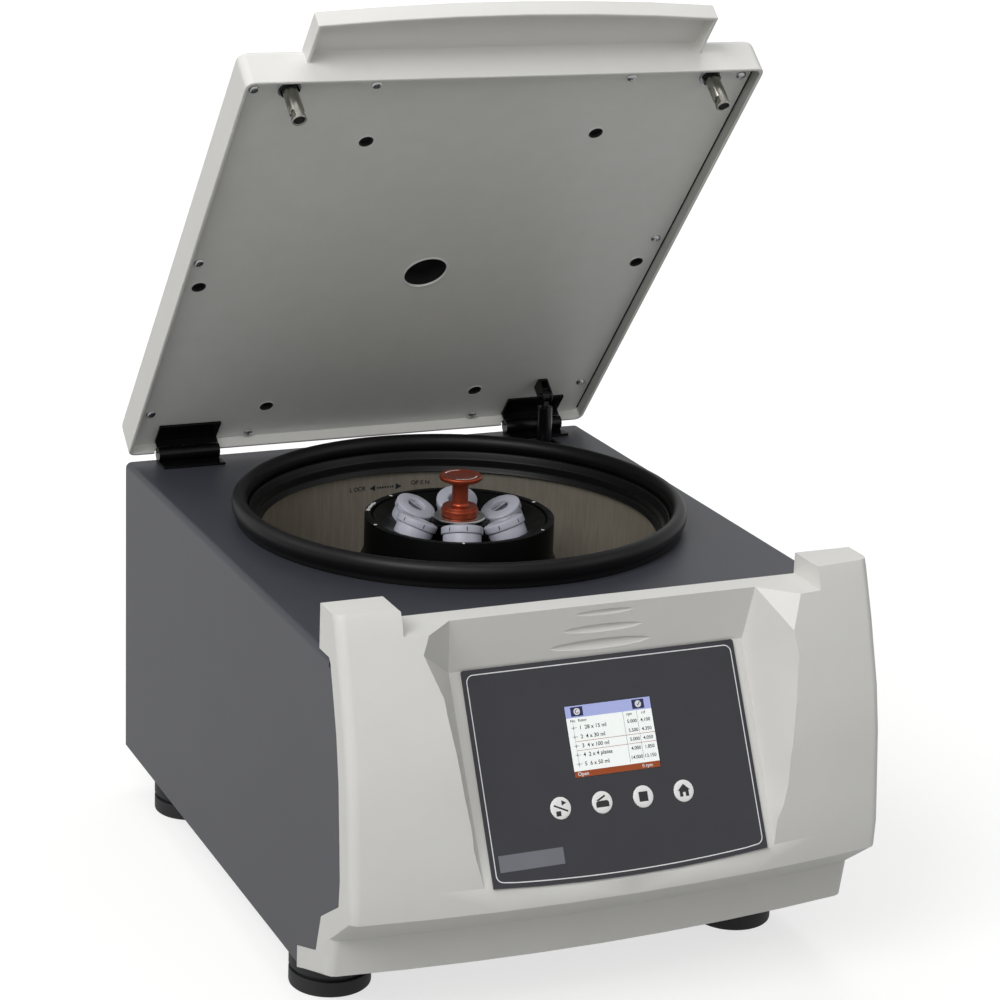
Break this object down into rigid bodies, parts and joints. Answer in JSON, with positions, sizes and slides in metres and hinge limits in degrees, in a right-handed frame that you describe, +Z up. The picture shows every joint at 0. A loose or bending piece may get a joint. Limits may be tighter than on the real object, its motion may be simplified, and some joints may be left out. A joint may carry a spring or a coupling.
{
  "type": "laboratory centrifuge",
  "caption": "Benchtop centrifuge with an open hinged lid, an angle rotor with capped tubes in a sealed bowl and a sloping control panel.",
  "frame": {"origin": "bottom centre of the box round the whole machine with its lid open", "axes": "+X to the right seen from the front, +Y to the rear, +Z up"},
  "size_m": [0.44, 0.6084, 0.7508],
  "materials": {
    "anthracite_paint": "fine textured powder coat",
    "pale_moulding": "lightly textured moulding",
    "panel_foil": "matt printed foil",
    "screen": "clear window over a display",
    "key_cap": "smooth",
    "stainless": "spun",
    "liner_steel": "brushed",
    "bright_steel": "turned",
    "zinc_plate": "zinc plated",
    "rubber": "matt",
    "black_steel": "gloss black",
    "motor_casting": "die cast",
    "black_anodised": "black anodised",
    "bronze_anodised": "bronze anodised",
    "tube_plastic": "smooth",
    "cap_plastic": "smooth",
    "black_plastic": "fine textured",
    "board": "solder mask"
  },
  "bodies": {
    "housing": {"base_plate": "zinc_plate", "bowl": "stainless", "control_board": "board", "control_panel": "panel_foil", "display": "screen", "foot_front_left": "rubber", "foot_front_right": "rubber", "foot_rear_left": "rubber", "foot_rear_right": "rubber", "front_bezel": "pale_moulding", "hinge_leaf_left": "black_steel", "hinge_leaf_right": "black_steel", "housing_cover": "anthracite_paint", "latch_body_left": "zinc_plate", "latch_body_right": "zinc_plate", "lid_gasket": "rubber", "mains_inlet": "black_plastic", "motor_end_cover": "motor_casting", "motor_housing": "motor_casting", "motor_mount_1": "rubber", "motor_mount_2": "rubber", "motor_mount_3": "rubber", "motor_mount_4": "rubber", "motor_plate": "zinc_plate", "rear_panel": "anthracite_paint", "shaft_boot": "rubber", "strut_foot": "zinc_plate"},
    "lid": {"lid_shell": "pale_moulding", "lid_liner": "liner_steel", "latch_pin_left": "bright_steel", "latch_pin_right": "bright_steel", "lid_leaf_left": "black_steel", "lid_leaf_right": "black_steel", "strut_bracket": "black_steel"},
    "strut_cylinder": {"strut_cylinder": "black_steel"},
    "strut_rod": {"strut_rod": "bright_steel"},
    "shaft": {"motor_shaft": "bright_steel"},
    "rotor": {"rotor": "black_anodised", "rotor_washer": "bright_steel"},
    "knob": {"rotor_knob": "bronze_anodised"},
    "latch_bolt_left": {"latch_bolt_left": "bright_steel"},
    "latch_bolt_right": {"latch_bolt_right": "bright_steel"},
    "rocker": {"mains_rocker": "black_plastic"},
    "key_start": {"key_start": "key_cap"},
    "key_lid": {"key_lid": "key_cap"},
    "key_stop": {"key_stop": "key_cap"},
    "key_home": {"key_home": "key_cap"},
    "tube_1": {"tube_1": "tube_plastic", "tube_cap_1": "cap_plastic"},
    "tube_2": {"tube_2": "tube_plastic", "tube_cap_2": "cap_plastic"},
    "tube_3": {"tube_3": "tube_plastic", "tube_cap_3": "cap_plastic"},
    "tube_4": {"tube_4": "tube_plastic", "tube_cap_4": "cap_plastic"},
    "tube_5": {"tube_5": "tube_plastic", "tube_cap_5": "cap_plastic"},
    "tube_6": {"tube_6": "tube_plastic", "tube_cap_6": "cap_plastic"}
  },
  "joints": [
    {"name": "lid_hinge", "type": "hinge", "parent": "housing", "child": "lid", "pos_m": [0, 0.27539, 0.315], "axis": [-1, 0, 0], "range_deg": [-50.2, 0]},
    {"name": "strut_swivel", "type": "hinge", "parent": "lid", "child": "strut_cylinder", "pos_m": [0.1645, 0.24396, 0.35038], "axis": [-1, 0, 0], "range_deg": [0, 42.2]},
    {"name": "strut_slide", "type": "slide", "parent": "strut_cylinder", "child": "strut_rod", "axis": [0, 0.0249, 0.9997], "range_m": [0, 0.03624]},
    {"name": "shaft_spin", "type": "hinge", "parent": "housing", "child": "shaft", "pos_m": [0, 0.05039, 0.2], "axis": [0, 0, 1], "continuous": true},
    {"name": "rotor_lift", "type": "slide", "parent": "shaft", "child": "rotor", "axis": [0, 0, 1], "range_m": [0, 0.14]},
    {"name": "knob_turn", "type": "hinge", "parent": "rotor", "child": "knob", "pos_m": [0, 0.05039, 0.32], "axis": [0, 0, 1], "continuous": true},
    {"name": "tube_lift_1", "type": "slide", "parent": "rotor", "child": "tube_1", "axis": [0.1411, 0.3984, 0.9063], "range_m": [0, 0.015]},
    {"name": "tube_lift_2", "type": "slide", "parent": "rotor", "child": "tube_2", "axis": [-0.2745, 0.3214, 0.9063], "range_m": [0, 0.015]},
    {"name": "tube_lift_3", "type": "slide", "parent": "rotor", "child": "tube_3", "axis": [-0.4155, -0.077, 0.9063], "range_m": [0, 0.015]},
    {"name": "tube_lift_4", "type": "slide", "parent": "rotor", "child": "tube_4", "axis": [-0.1411, -0.3984, 0.9063], "range_m": [0, 0.015]},
    {"name": "tube_lift_5", "type": "slide", "parent": "rotor", "child": "tube_5", "axis": [0.2745, -0.3214, 0.9063], "range_m": [0, 0.015]},
    {"name": "tube_lift_6", "type": "slide", "parent": "rotor", "child": "tube_6", "axis": [0.4155, 0.077, 0.9063], "range_m": [0, 0.015]},
    {"name": "press_start", "type": "slide", "parent": "housing", "child": "key_start", "axis": [0, 0.8854, -0.4648], "range_m": [0, 0.0005], "stiffness_N_per_m": 800, "springref_m": -0.0001},
    {"name": "press_lid", "type": "slide", "parent": "housing", "child": "key_lid", "axis": [0, 0.8854, -0.4648], "range_m": [0, 0.0005], "stiffness_N_per_m": 800, "springref_m": -0.0001},
    {"name": "press_stop", "type": "slide", "parent": "housing", "child": "key_stop", "axis": [0, 0.8854, -0.4648], "range_m": [0, 0.0005], "stiffness_N_per_m": 800, "springref_m": -0.0001},
    {"name": "press_home", "type": "slide", "parent": "housing", "child": "key_home", "axis": [0, 0.8854, -0.4648], "range_m": [0, 0.0005], "stiffness_N_per_m": 800, "springref_m": -0.0001},
    {"name": "rocker_tilt", "type": "hinge", "parent": "housing", "child": "rocker", "pos_m": [-0.14, 0.28869, 0.1], "axis": [1, 0, 0], "range_deg": [-18, 0]},
    {"name": "bolt_left", "type": "slide", "parent": "housing", "child": "latch_bolt_left", "axis": [1, 0, 0], "range_m": [-0.004, 0]},
    {"name": "bolt_right", "type": "slide", "parent": "housing", "child": "latch_bolt_right", "axis": [-1, 0, 0], "range_m": [-0.004, 0]}
  ],
  "couplings": [
    {"joint": "strut_swivel", "follows": "lid_hinge", "ratio": -0.84035},
    {"joint": "strut_slide", "follows": "lid_hinge", "m_per_rad": -0.041335}
  ]
}
